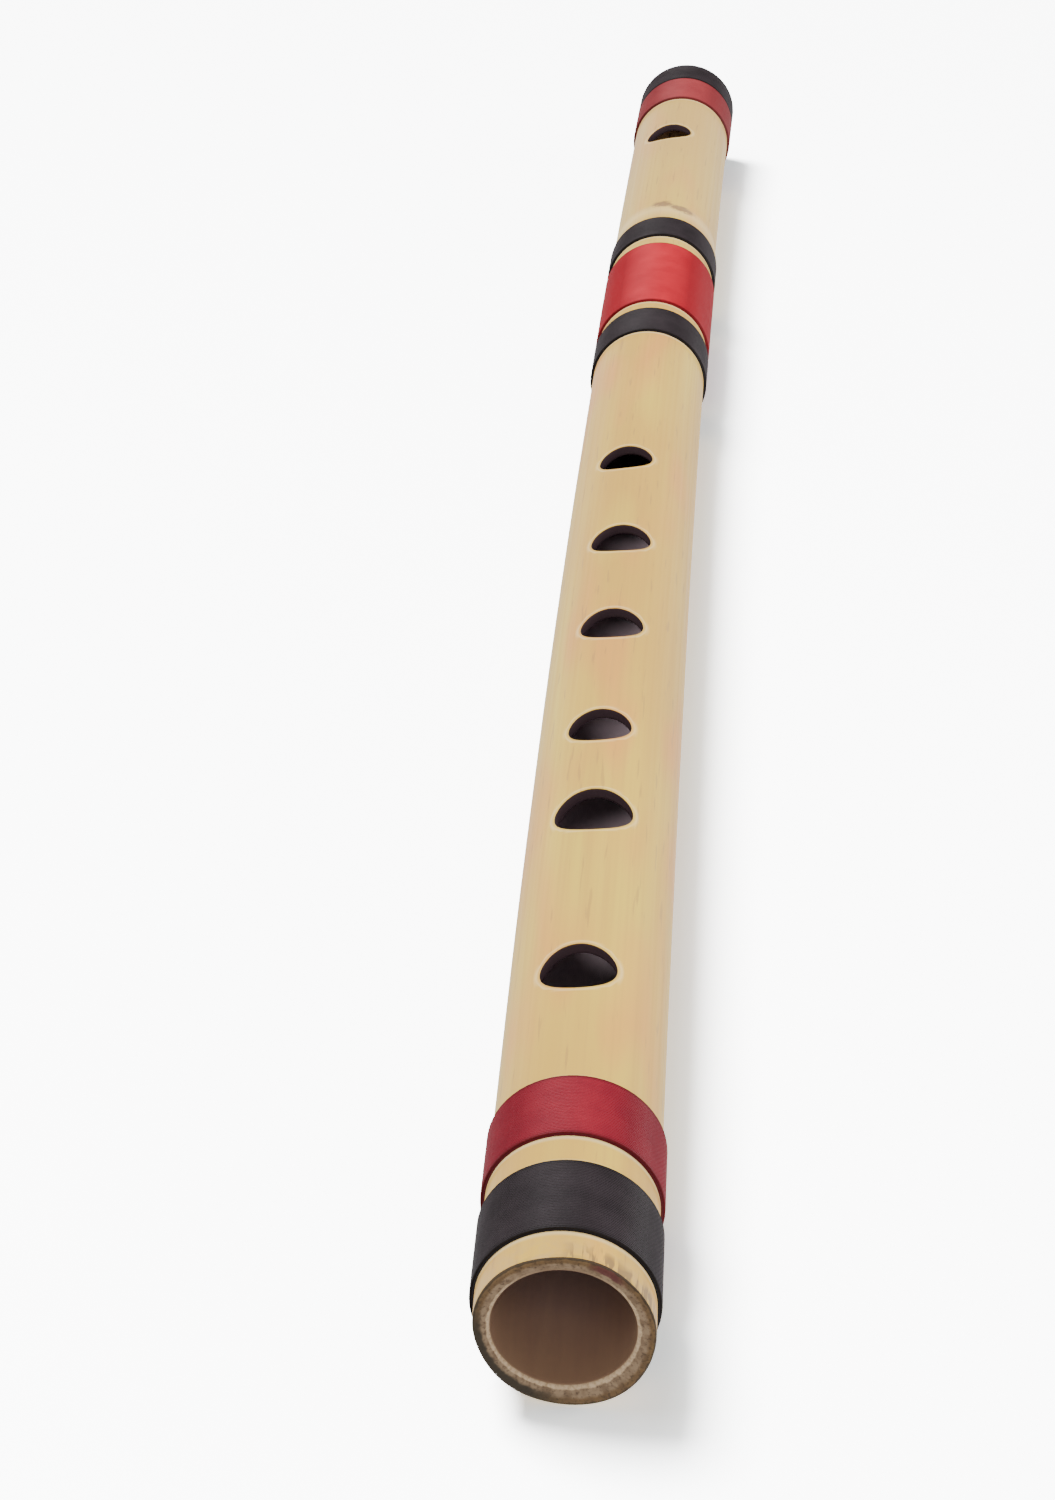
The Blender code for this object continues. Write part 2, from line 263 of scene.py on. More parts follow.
FLUTE_NODES = frame["record"]["behaviour"]["bodies"]["flute"]
WINDING_EDGES = [edge for node in FLUTE_NODES if "winding" in node for edge in winding_ends(node)]
SWELL_START = winding_ends("foot_red_winding")[1]
SWELL_END = winding_ends("middle_foot_side_black_winding")[0]
NODE_PLACE = winding_ends("middle_head_side_black_winding")[1] + NODE_TO_WINDING
HEAD_GAP = (winding_ends("head_red_winding")[1] + winding_ends("head_black_winding")[0]) / 2

HEAD_SIDE_FADE = (SWELL_END, NODE_PLACE + 40 * MM)  # over which the cane turns to its head-side tone

# Marks of the filed node: middle and half width of a paler ring, then the dark flecks beside it as
# place, place across the top, half length and half width
NODE_RING = (NODE_PLACE - 1.0 * MM, 4.0 * MM)
NODE_FLECKS = (
    (NODE_PLACE + 3.6 * MM, -0.8 * MM, 2.5 * MM, 2.8 * MM),
    (NODE_PLACE + 1.9 * MM, 3.5 * MM, 2.6 * MM, 3.2 * MM),
)
FLECK_RAGGEDNESS = 1.6 * MM


def skin_radius(turn, place):
    """Outer radius of the cane, with its swell, its filed node and its slight unevenness."""
    share = np.clip((place - SWELL_START) / (SWELL_END - SWELL_START), 0, 1)
    swell = SWELL * np.sin(np.pi * share)
    across = (place - NODE_PLACE) / NODE_HALF_WIDTH
    ring = NODE_HEIGHT * np.exp(-(across**2)) * (0.8 + 0.2 * np.cos(3 * turn + 1.0))
    groove = 0.4 * NODE_HEIGHT * np.exp(-((across - 2.2) ** 2)) * (0.6 + 0.4 * np.sin(2 * turn))
    uneven = SKIN_UNEVENNESS * (
        0.6 * np.cos(2 * turn + 25 * place)
        + 0.25 * np.cos(5 * turn - 60 * place)
        + 0.3 * np.sin(90 * place)
    )
    near_foot = np.exp(-((place / FOOT_SHAPE_REACH) ** 2))
    out_of_round = sum(
        height * np.exp(-(((np.mod(turn, TAU) - middle) / half_width) ** 2))
        for height, middle, half_width in (FOOT_BULGE, FOOT_FLAT)
    )
    return CANE_RADIUS + swell + ring - groove + uneven + out_of_round * near_foot


def link(made):
    bpy.context.scene.collection.objects.link(made)


class Solid:
    """Points and faces of one mesh as they are gathered, with named marks on the points."""

    def __init__(self):
        self.points = []
        self.marks = {}
        self.faces = []
        self.slots = []
        self.count = 0

    def add(self, points, **marks):
        """Adds an array of points and returns their numbers in the same layout."""
        layout = points.shape[:-1]
        size = int(np.prod(layout))
        self.points.append(points.reshape(-1, 3))
        for name, value in marks.items():
            self.marks.setdefault(name, []).append(np.broadcast_to(value, layout).reshape(-1))
        numbers = np.arange(self.count, self.count + size).reshape(layout)
        self.count += size
        return numbers

    def join(self, first, second, slot=0, closed=True):
        """Quads between two rows of points."""
        if closed:
            first, second = np.append(first, first[0]), np.append(second, second[0])
        quads = np.stack([first[:-1], first[1:], second[1:], second[:-1]], axis=-1)
        self.faces.append(quads)
        self.slots.append(np.full(len(quads), slot))

    def loft(self, rows, slot=0, closed=True):
        for first, second in zip(rows[:-1], rows[1:]):
            self.join(first, second, slot, closed)

    def fan(self, ring, middle, slot=0):
        """Closes a ring of points with triangles to a middle point."""
        following = np.roll(ring, -1)
        triangles = np.stack([ring, following, np.full(len(ring), middle)], axis=-1)
        self.faces.append(triangles)
        self.slots.append(np.full(len(triangles), slot))

    def build(self, name, materials):
        faces = [face for group in self.faces for face in group.tolist()]
        mesh = bpy.data.meshes.new(name)
        mesh.from_pydata(np.concatenate(self.points).tolist(), [], faces)
        for mark, values in self.marks.items():
            attribute = mesh.attributes.new(mark, "FLOAT", "POINT")
            attribute.data.foreach_set("value", np.concatenate(values).astype(np.float32))
        for made in materials:
            mesh.materials.append(made)
        mesh.polygons.foreach_set("material_index", np.concatenate(self.slots).astype(np.int32))
        mesh.shade_smooth()
        mesh.update()
        piece = bpy.data.objects.new(name, mesh)
        link(piece)
        return piece


def linear(channel):
    """One 0 to 255 display value as linear light."""
    value = channel / 255
    return value / 12.92 if value <= 0.04045 else ((value + 0.055) / 1.055) ** 2.4


def colour(name, share=1.0):
    """A colour of the list above in linear light, or a share of it."""
    return tuple(share * part for part in (*map(linear, COLOURS[name]), 1.0))


class Finish:
    """A material with a Principled shader, and short calls for the nodes that drive it."""

    def __init__(self, name, roughness, **values):
        self.material = bpy.data.materials.new(name)
        self.material.use_nodes = True
        self.tree = self.material.node_tree
        self.shader = self.tree.nodes["Principled BSDF"]
        self.shader.inputs["Roughness"].default_value = roughness
        for socket, value in values.items():
            self.shader.inputs[socket.replace("_", " ")].default_value = value

    def put(self, socket, value):
        """Links an output to a socket, or sets the socket to a plain value."""
        if isinstance(value, bpy.types.NodeSocket):
            self.tree.links.new(value, socket)
        else:
            socket.default_value = value

    def node(self, kind, *inputs, **settings):
        made = self.tree.nodes.new(kind)
        for name, value in settings.items():
            setattr(made, name, value)
        for number, value in enumerate(inputs):
            self.put(made.inputs[number], value)
        return made

    def math(self, operation, *inputs):
        return self.node("ShaderNodeMath", *inputs, operation=operation).outputs[0]

    def times(self, first, *others):
        for other in others:
            first = self.math("MULTIPLY", first, other)
        return first

    def plus(self, value, other, amount):
        """A value with an amount of another added, such as a noise that makes it uneven."""
        return self.math("ADD", value, self.times(other, amount))

    def away(self, value, middle):
        """Distance of a value from the middle of something."""
        return self.math("ABSOLUTE", self.math("SUBTRACT", value, middle))

    def spread(self, value, low, high, to_low=0.0, to_high=1.0):
        """Maps a value from one range to another, held within the second."""
        made = self.node("ShaderNodeMapRange", value, low, high, to_low, to_high, clamp=True)
        return made.outputs[0]

    def band(self, value, middle, half_width):
        """1 at the middle of a band, falling evenly to 0 at its edges."""
        return self.spread(self.away(value, middle), 0.0, half_width, 1.0, 0.0)

    def mark(self, name):
        return self.node("ShaderNodeAttribute", attribute_name=name).outputs["Fac"]

    def vector(self, x, y, z):
        return self.node("ShaderNodeCombineXYZ", x, y, z).outputs[0]

    def object_place(self):
        return self.node("ShaderNodeTexCoord").outputs["Object"]

    def noise(self, where, scale, detail=2.0, roughness=0.5):
        made = self.node("ShaderNodeTexNoise", where)
        made.inputs["Scale"].default_value = scale
        made.inputs["Detail"].default_value = detail
        made.inputs["Roughness"].default_value = roughness
        return made.outputs[0]

    def mix(self, share, first, second):
        made = self.node("ShaderNodeMix", data_type="RGBA")
        self.put(made.inputs["Factor"], share)
        self.put(made.inputs[6], first)
        self.put(made.inputs[7], second)
        return made.outputs[2]

    def between(self, share, first, second):
        """A mix of two colours of the list."""
        return self.mix(share, colour(first), colour(second))

    def tint(self, base, share, name):
        """The base with a colour of the list over it."""
        return self.mix(share, base, colour(name))

    def bump(self, *heights):
        """Bumps of (height, strength, distance) one over the other."""
        below = None
        for height, strength, distance in heights:
            made = self.node("ShaderNodeBump")
            made.inputs["Strength"].default_value = strength
            made.inputs["Distance"].default_value = distance
            self.put(made.inputs["Height"], height)
            if below is not None:
                self.put(made.inputs["Normal"], below)
            below = made.outputs[0]
        self.put(self.shader.inputs["Normal"], below)

    def paint(self, base, roughness=None):
        self.put(self.shader.inputs["Base Color"], base)
        if roughness is not None:
            self.put(self.shader.inputs["Roughness"], roughness)
        return self.material


class FluteFinish(Finish):
    """A finish that takes its place and turn on the flute from the marks on the mesh."""

    def __init__(self, name, roughness, **values):
        super().__init__(name, roughness, **values)
        self.place, self.sine, self.cosine = self.mark("place"), self.mark("sine"), self.mark("cosine")

    def stretched(self, along):
        """Texture coordinates with the flute's length squeezed by along, so that patterns stretch."""
        sideways, upwards = self.times(self.sine, CANE_RADIUS), self.times(self.cosine, CANE_RADIUS)
        return self.vector(sideways, self.times(self.place, along), upwards)

    def top(self):
        """1 on the upper side of the flute."""
        return self.spread(self.cosine, 0.0, 0.2)


def grown_skin(finish, fibre):
    """Golden cane with soft blushes, lengthwise bands, fibres and a few dark dashes."""
    long = finish.stretched(0.22)
    base = finish.between(finish.spread(finish.noise(long, 60, 1.0), 0.35, 0.65), "straw", "gold")
    blush = finish.spread(finish.noise(long, 110, 1.0), 0.50, 0.66)
    base = finish.tint(base, finish.times(blush, 0.75), "pink blush")
    pale = finish.spread(finish.noise(long, 85, 1.0), 0.52, 0.72)
    base = finish.tint(base, finish.times(pale, 0.60), "pale patch")
    bands = finish.spread(finish.noise(finish.stretched(0.03), 330, 2.0), 0.42, 0.66)
    base = finish.tint(base, finish.times(bands, 0.35), "brown band")
    base = finish.tint(base, finish.times(finish.spread(fibre, 0.46, 0.72), 0.25), "fibre")
    head_side = finish.spread(finish.place, *HEAD_SIDE_FADE, 0.0, 0.45)
    base = finish.tint(base, head_side, "head-side straw")
    dash = finish.spread(finish.noise(finish.stretched(0.07), 1500, 1.0), 0.66, 0.74)
    return finish.tint(base, finish.times(dash, 0.40), "dark dash")


def filed_node(finish, base, even):
    """A paler ring, with broken dark flecks on its head side."""
    ring = finish.band(finish.place, *NODE_RING)
    base = finish.tint(base, finish.times(ring, 0.50), "filed node")
    along = finish.plus(finish.place, finish.noise(even, 300, 2.0), FLECK_RAGGEDNESS)
    across = finish.times(finish.sine, CANE_RADIUS)
    flecks = [
        finish.times(finish.band(along, place, half_length), finish.band(across, sideways, half_width))
        for place, sideways, half_length, half_width in NODE_FLECKS
    ]
    broken = finish.spread(finish.noise(even, 700, 3.0, 0.7), 0.38, 0.56, 0.35, 1.0)
    fleck = finish.times(finish.math("MAXIMUM", *flecks), broken, finish.top())
    return finish.tint(base, finish.spread(fleck, 0.03, 0.30, 0.0, 0.95), "node fleck")


def beside_windings(finish, base):
    """Paler cane at the windings' edges, and painted shade in the narrow gap at the head."""
    nearest = finish.away(finish.place, WINDING_EDGES[0])
    for edge in WINDING_EDGES[1:]:
        nearest = finish.math("MINIMUM", nearest, finish.away(finish.place, edge))
    base = finish.tint(base, finish.spread(nearest, *PALE_BESIDE_REACH, 0.7, 0.0), "clean cane")
    gap = finish.spread(finish.away(finish.place, HEAD_GAP), *GAP_REACH, 0.9, 0.0)
    return finish.tint(base, gap, "narrow gap")


def foot_scratches(finish, even):
    """Lengthwise scratches on the bare foot end, from the top round to the right."""
    noise = finish.noise(finish.stretched(0.16), 1250, 2.0, 0.6)
    uneven_place = finish.plus(finish.place, finish.noise(even, 520, 1.0), SCRATCH_RAGGEDNESS)
    near_foot = finish.spread(uneven_place, *SCRATCH_REACH, 1.0, 0.0)
    right = finish.spread(finish.sine, -0.05, 0.10)
    return finish.times(finish.spread(noise, 0.45, 0.52), near_foot, right, finish.top())


def foot_wear(finish, base, even, scratches):
    """A brown smudge and dark scratches at the foot, and a dark line along both sawn edges."""
    dirt = finish.noise(even, 420, 3.0, 0.6)
    near_foot = finish.spread(finish.place, *SMUDGE_REACH, 0.55, 0.0)
    base = finish.tint(base, finish.times(finish.spread(dirt, 0.42, 0.62), near_foot), "smudge")
    base = finish.tint(base, finish.times(scratches, 0.90), "scratch")
    from_cut = finish.plus(finish.mark("cut"), dirt, 0.5)
    return finish.tint(base, finish.spread(from_cut, 1.10, 1.30, 0.45, 0.0), "sawn edge")


def hole_edges(finish, base, even):
    """A worn, paler edge round each hole, and its scorched wall."""
    burn = finish.mark("burn")
    worn = finish.spread(burn, -0.95, -0.25, 0.0, 0.5)
    base = finish.tint(base, finish.times(worn, finish.spread(burn, -0.2, 0.1, 1.0, 0.0)), "worn hole edge")
    uneven_burn = finish.plus(burn, finish.noise(even, 900, 2.0), 0.4)
    return finish.tint(base, finish.spread(uneven_burn, 0.45, 0.75), "scorched wall")


def cane_finish():
    """Lacquered cane, with its filed node, its wear and the edges of its holes."""
    finish = FluteFinish(
        "lacquered_cane",
        0.42,
        Coat_Weight=0.20,
        Coat_Roughness=0.18,
        Coat_IOR=1.45,
        Specular_IOR_Level=0.06,
    )
    even = finish.stretched(1.0)
    fibre = finish.noise(finish.stretched(0.012), 1500, 1.0)
    scratches = foot_scratches(finish, even)
    base = filed_node(finish, grown_skin(finish, fibre), even)
    base = foot_wear(finish, beside_windings(finish, base), even, scratches)
    base = hole_edges(finish, base, even)
    finish.bump((fibre, 0.05, 0.10 * MM), (scratches, 0.30, -0.10 * MM))
    return finish.paint(base, finish.spread(fibre, 0.3, 0.8, 0.36, 0.50))


def end_finish():
    """Sawn and sanded ends: a pale inner lip, then brown end grain, darker and dirtier outwards."""
    finish = FluteFinish("sawn_cane", 0.78, Specular_IOR_Level=0.25)
    cut = finish.mark("cut")
    even = finish.stretched(1.0)
    grain = finish.noise(even, 2200, 2.0, 0.6)
    dirt = finish.noise(even, 700, 2.0, 0.6)
    outwards = finish.plus(cut, dirt, 0.30)
    base = finish.between(finish.spread(outwards, 0.68, 0.84), "end grain", "outer end grain")
    base = finish.tint(base, finish.spread(dirt, 0.42, 0.62, 0.0, 0.60), "dirty end grain")
    base = finish.tint(base, finish.spread(grain, 0.52, 0.66, 0.0, 0.55), "vessel")

    # Black dirt and painted shade at the lower left, and a reddish stain at the upper right, at the foot
    # end alone
    at_foot = finish.spread(finish.place, 0.0, LENGTH, 1.0, 0.0)
    lower_left = finish.plus(finish.times(finish.cosine, -0.60), finish.sine, -0.80)
    # Dark dirt and painted shade together on the outer end grain at the lower left.
    grime_and_shade = finish.spread(outwards, 0.52, 0.70, 0.0, 0.9)
    grime_and_shade = finish.times(finish.spread(lower_left, 0.50, 0.80), grime_and_shade, at_foot)
    base = finish.tint(base, grime_and_shade, "grime_and_shade")
    upper_right = finish.times(finish.band(finish.sine, 0.46, 0.24), finish.spread(finish.cosine, 0.3, 0.5))
    stain = finish.times(upper_right, finish.spread(outwards, 0.55, 0.70, 0.0, 1.5))
    stain = finish.times(finish.spread(stain, 0.1, 0.9, 0.0, 0.85), at_foot)
    base = finish.tint(base, stain, "red stain")

    lip_tone = finish.between(finish.spread(grain, 0.4, 0.7), "pale lip", "grained lip")
    # Painted shade: the lip is darker on its upper side.
    lip_tone = finish.tint(lip_tone, finish.spread(finish.cosine, 0.45, 0.80, 0.0, 0.80), "shaded upper lip")
    from_bore = finish.plus(cut, dirt, 0.20)
    base = finish.mix(finish.spread(from_bore, 0.27, 0.33, 1.0, 0.0), base, lip_tone)
    base = finish.tint(base, finish.spread(from_bore, 0.97, 1.03, 0.0, 0.9), "outer rim")
    finish.bump((grain, 0.35, 0.10 * MM), (dirt, 0.30, 0.20 * MM))
    return finish.paint(base)


def bore_finish():
    """Darkened inner wall, browner towards both ends and lighter just inside the foot, with painted shade
    on its lower side and painted light on its upper side near the ends.
    """
    finish = FluteFinish("cane_bore", 0.60, Specular_IOR_Level=0.3)
    place, cosine = finish.place, finish.cosine
    streaks = finish.noise(finish.stretched(0.08), 500, 3.0, 0.6)
    patches = finish.noise(finish.stretched(0.4), 110, 3.0, 0.6)
    streaked = finish.spread(streaks, 0.2, 0.8)
    base = finish.between(streaked, "dark bore", "light bore")
    base = finish.tint(base, finish.spread(patches, 0.45, 0.75), "bore patch")
    # Painted shade on the bore's lower side.
    base = finish.tint(base, finish.spread(cosine, -0.75, -0.15, 0.75, 0.0), "shaded bore floor")
    near_foot = finish.spread(place, *BORE_FOOT_REACH, 1.0, 0.0)
    near_end = finish.math("MAXIMUM", near_foot, finish.spread(place, *BORE_HEAD_REACH))
    base = finish.mix(near_end, base, finish.between(streaked, "dark bore end", "light bore end"))
    # Painted light on the bore's upper side near both ends.
    upper = finish.times(finish.spread(cosine, -0.1, 0.6, 0.0, 0.7), near_end)
    base = finish.tint(base, upper, "lit upper bore end")
    base = finish.tint(base, finish.spread(place, 0.0, BORE_EDGE_REACH, 0.5, 0.0), "foot bore edge")
    finish.bump((streaks, 0.10, 0.15 * MM))
    return finish.paint(base)


def thread_finish(name, dark, sheen, painted_side_shade):
    """Fine thread in two tones, with painted shade at the windings' ends and along the thread's sides."""
    finish = FluteFinish(
        name,
        0.46,
        Specular_IOR_Level=0.10,
        Sheen_Weight=0.02,
        Sheen_Roughness=0.35,
        Sheen_Tint=colour(sheen),
    )
    even = finish.stretched(1.0)
    ply = finish.spread(finish.math("SINE", finish.mark("strand")), -1.0, 1.0)
    tone = finish.noise(even, 160, 3.0, 0.6)
    rows = finish.noise(finish.vector(0.0, finish.place, 0.0), 2600, 1.0)
    base = finish.between(finish.spread(tone, 0.30, 0.70), dark, "light " + dark)
    base = finish.tint(base, finish.spread(rows, 0.35, 0.75, 0.0, 0.35), dark)
    # Painted shade in the grooves between the strands, where the ply bump is lowest.
    base = finish.tint(base, finish.spread(ply, 0.0, 1.0, 0.25, 0.0), dark)
    # Painted shade: the thread is darker towards its sides and lighter along its top.
    base = finish.mix(finish.spread(finish.cosine, 0.80, 1.0, painted_side_shade, 0.0), base, colour(dark, 0.50))
    # Painted shade at both ends of a winding, darkest on the inner layers' step there.
    base = finish.mix(finish.times(finish.mark("edge"), 0.75), base, colour(dark, 0.25))
    fuzz = finish.noise(even, 4200, 2.0)
    finish.bump((ply, 0.25, 0.04 * MM), (fuzz, 0.15, 0.03 * MM))
    return finish.paint(base)


def cork_finish():
    finish = Finish("natural_cork", 0.85, Specular_IOR_Level=0.25)
    where = finish.object_place()
    cells = finish.noise(where, 600, 4.0, 0.65)
    pores = finish.spread(finish.noise(where, 320, 3.0, 0.7), 0.60, 0.70)
    base = finish.between(finish.spread(cells, 0.3, 0.7), "dark cork", "light cork")
    finish.bump((cells, 0.35, 0.2 * MM), (pores, 0.6, -0.3 * MM))
    return finish.paint(finish.tint(base, pores, "cork pore"))


def floor_finish():
    glow = {"Emission_Color": FLOOR_GLOW, "Emission_Strength": FLOOR_GLOW_STRENGTH}
    finish = Finish("pale_floor", 0.38, Specular_IOR_Level=0.35, **glow)
    tone = finish.noise(finish.object_place(), 3.0, 2.0)
    return finish.paint(finish.between(tone, "cool white", "white"))


def skin_marks(turn, place, cut=1.5, burn=0.0, share=1.0):
    """Marks of points at a share of the cane's radius."""
    return {
        "place": place,
        "sine": share * np.sin(turn),
        "cosine": share * np.cos(turn),
        "cut": cut,
        "burn": burn,
    }


def hole_places():
    """Name, place, radius and turn of each hole. Its place is the middle of its opening in the frame."""
    found = {opening["name"]: opening["box_m"] for opening in frame["record"]["physics"]["openings"]}
    holes = []
    for name, (diameter, lean) in HOLES.items():
        low, high = found[name]
        holes.append((name, place_of((low[1] + high[1]) / 2), diameter / 2, -lean))
    return holes


def row_places(holes):
    """Places of the skin's rows: fine about the holes, and evenly filled between them."""
    stops = [(SKIN_START, SKIN_START)]
    reach = WINDOW * WINDOW_STEP
    stops += sorted((place - reach, place + reach) for _, place, _, _ in holes)
    stops.append((LENGTH - SKIN_END, LENGTH - SKIN_END))
    places = []
    for (low, high), (following, _) in zip(stops[:-1], stops[1:]):
        fine = [low] if low == high else list(np.linspace(low, high, 2 * WINDOW + 1))
        spans = max(1, math.ceil((following - high) / PLAIN_STEP))
        places += fine + list(np.linspace(high, following, spans + 1)[1:-1])
    places.append(LENGTH - SKIN_END)
    return np.array(places)


class HolePatch:
    """The skin, wall and bore surface about one hole, in quads between rings of points."""

    def __init__(self, place, radius, turn):
        self.place, self.radius, self.turn = place, radius, turn
        self.outward = np.array([math.sin(turn), math.cos(turn)])
        self.sideways = np.array([math.cos(turn), -math.sin(turn)])

    def flat(self, points):
        """Sideways and lengthways distance of points from the hole's axis."""
        across = np.stack([points[..., 0] - bow(self.place), points[..., 2] - AXIS_HEIGHT], axis=-1)
        return across @ self.sideways, points[..., 1] + LENGTH / 2 - self.place

    def skin_height(self, x, y):
        turn = self.turn + np.arcsin(np.clip(x / CANE_RADIUS, -1, 1))
        return np.sqrt(skin_radius(turn, self.place + y) ** 2 - x**2)

    def bore_height(self, x, y):
        rise, drift = BORE_OFFSET * self.outward[1], BORE_OFFSET * self.sideways[1]
        return rise + np.sqrt(BORE_RADIUS**2 - (x - drift) ** 2) + 0 * y

    def points(self, x, y, height):
        across = height[..., None] * self.outward + x[..., None] * self.sideways
        place = self.place + y
        x_world, z_world = bow(place) + across[..., 0], AXIS_HEIGHT + across[..., 1]
        return np.stack([x_world, place - LENGTH / 2, z_world], axis=-1)

    def ring(self, solid, x, y, height, burn):
        points = self.points(x, y, height)
        turn = self.turn + np.arctan2(x, height)
        return solid.add(points, **skin_marks(turn, self.place + y, burn=burn))

    def surface_rings(self, solid, edge_x, edge_y, aim, start_radius, height_of, count, burnt):
        """Rings from just outside the hole's easing to just inside the patch's edge."""
        rings = []
        for step in range(count):
            share = (step / count) ** 1.15
            x = (1 - share) * start_radius * np.sin(aim) + share * edge_x
            y = (1 - share) * start_radius * np.cos(aim) + share * edge_y
            away = np.hypot(x, y) - self.radius
            burn = 0.8 if burnt else -np.clip(1 - away / WORN_REACH, 0, 1)
            rings.append(self.ring(solid, x, y, height_of(x, y), burn))
        return rings

    def easing_rings(self, solid, aim, size, height_of, inward, steps, first_burn):
        """A quarter round between a surface and the hole's wall, from the surface to the wall."""
        rings = []
        for step in range(1, steps + 1):
            angle = math.pi / 2 * step / steps
            radius = self.radius + size * (1 - math.sin(angle))
            x, y = radius * np.sin(aim), radius * np.cos(aim)
            height = height_of(x, y) + inward * size * (1 - math.cos(angle))
            burn = first_burn + (1 - first_burn) * 0.7 * step / steps
            rings.append(self.ring(solid, x, y, height, burn))
        return rings

    def fill(self, solid, skin_edge, skin_points, bore_edge, bore_points):
        """Closes the windows that were left in the skin and in the bore about this hole."""
        edge_x, edge_y = self.flat(skin_points)
        aim = np.arctan2(edge_x, edge_y)
        start = self.radius + HOLE_EASING
        skin, bore = self.skin_height, self.bore_height
        outside = self.surface_rings(solid, edge_x, edge_y, aim, start, skin, SKIN_RINGS, burnt=False)
        easing = self.easing_rings(solid, aim, HOLE_EASING, skin, -1, EASING_RINGS, -0.8)
        x, y = self.radius * np.sin(aim), self.radius * np.cos(aim)
        top, foot = skin(x, y) - HOLE_EASING, bore(x, y) + HOLE_INNER_EASING
        shares = [step / WALL_SPANS for step in range(1, WALL_SPANS)]
        wall = [self.ring(solid, x, y, top + (foot - top) * share, 1.0) for share in shares]
        inner = self.easing_rings(solid, aim, HOLE_INNER_EASING, bore, 1, INNER_EASING_RINGS, 1.0)
        edge_x, edge_y = self.flat(bore_points)
        start = self.radius + HOLE_INNER_EASING
        inside = self.surface_rings(solid, edge_x, edge_y, aim, start, bore, BORE_RINGS, burnt=True)
        solid.loft([skin_edge, *outside[::-1], *easing, *wall, *inner[::-1]], slot=0)
        solid.loft([inner[0], *inside, bore_edge], slot=1)


def window_loop(grid, row, column):
    """Numbers of the points round the edge of the window about a hole."""
    columns = np.arange(column - WINDOW, column + WINDOW + 1) % COLUMNS
    rows = np.arange(row - WINDOW, row + WINDOW + 1)
    return np.concatenate(
        [
            grid[rows[0], columns[:-1]],
            grid[rows[:-1], columns[-1]],
            grid[rows[-1], columns[:0:-1]],
            grid[rows[:0:-1], columns[0]],
        ]
    )


def keep_mask(rows, windows):
    """Which quads of a grid stay: all but those inside the windows."""
    keep = np.ones((rows - 1, COLUMNS), bool)
    for row, column in windows:
        columns = np.arange(column - WINDOW, column + WINDOW) % COLUMNS
        keep[row - WINDOW : row + WINDOW, columns] = False
    return keep


def grid_quads(grid, keep):
    following = np.roll(grid, -1, axis=1)
    quads = np.stack([grid[:-1], following[:-1], following[1:], grid[1:]], axis=-1)
    return quads[keep]


def rim_rows(solid, profile, end, inwards, turns, seed):
    """Rows of points over a sawn end, from the bore to the skin. inwards is +1 at the foot end."""
    rng = np.random.default_rng(seed)
    waves = sum(rng.normal(0, RIM_WAVE_SIZE) * np.cos(n * turns + rng.uniform(0, TAU)) for n in RIM_WAVES)
    wear = 0.35 + 0.65 * (0.5 + 0.5 * np.cos(turns)) ** 0.7
    rows = []
    for share, depth in profile:
        place = end + inwards * depth * MM * (1 if share < 0.4 else wear * (1 + waves))
        inner = wrap(BORE_RADIUS, turns, place, BORE_OFFSET)
        outer = wrap(skin_radius(turns, place), turns, place)
        of_radius = (BORE_RADIUS + (CANE_RADIUS - BORE_RADIUS) * share) / CANE_RADIUS
        marks = skin_marks(turns, place, cut=share, share=of_radius)
        rows.append(solid.add(inner + (outer - inner) * share, **marks))
    return rows


def make_cane():
    solid = Solid()
    turns = TAU * np.arange(COLUMNS) / COLUMNS
    holes = hole_places()
    places = row_places(holes)
    grid_turn, grid_place = np.meshgrid(turns, places)
    cut = np.clip((grid_place - SKIN_START) / SAWN_EDGE_REACH, 0, 1) * 0.5 + 1.0
    skin_points = wrap(skin_radius(grid_turn, grid_place), grid_turn, grid_place)
    skin = solid.add(skin_points, **skin_marks(grid_turn, grid_place, cut=cut))
    bore_points = wrap(BORE_RADIUS, grid_turn, grid_place, BORE_OFFSET)
    bore = solid.add(bore_points, **skin_marks(grid_turn, grid_place))

    windows = []
    for _, place, _, turn in holes:
        row = int(np.argmin(abs(places - place)))
        windows.append((row, round(turn / TAU * COLUMNS) % COLUMNS))
    keep = keep_mask(len(places), windows)
    skin_quads, bore_quads = grid_quads(skin, keep), grid_quads(bore, keep)[:, ::-1]
    solid.faces += [skin_quads, bore_quads]
    solid.slots += [np.zeros(len(skin_quads)), np.ones(len(bore_quads))]

    flat_skin, flat_bore = skin_points.reshape(-1, 3), bore_points.reshape(-1, 3)
    for (_, place, radius, turn), (row, column) in zip(holes, windows):
        skin_edge, bore_edge = window_loop(skin, row, column), window_loop(bore, row, column)
        patch = HolePatch(place, radius, turn)
        patch.fill(solid, skin_edge, flat_skin[skin_edge], bore_edge, flat_bore[bore_edge - skin.size])

    foot = rim_rows(solid, FOOT_RIM, 0.0, 1, turns, FOOT_RIM_SEED)
    solid.loft([bore[0], foot[0], foot[1]], slot=1)
    solid.loft(foot[1:], slot=2)
    solid.loft([foot[-1], skin[0]], slot=0)
    head = rim_rows(solid, HEAD_RIM, LENGTH, -1, turns, HEAD_RIM_SEED)
    solid.loft([skin[-1], head[-1]], slot=0)
    solid.loft(head[:0:-1], slot=2)
    solid.loft([head[1], head[0], bore[-1]], slot=1)
    cane = solid.build("cane", [cane_finish(), bore_finish(), end_finish()])
    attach(cane, "flute")
    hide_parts("bamboo_tube")


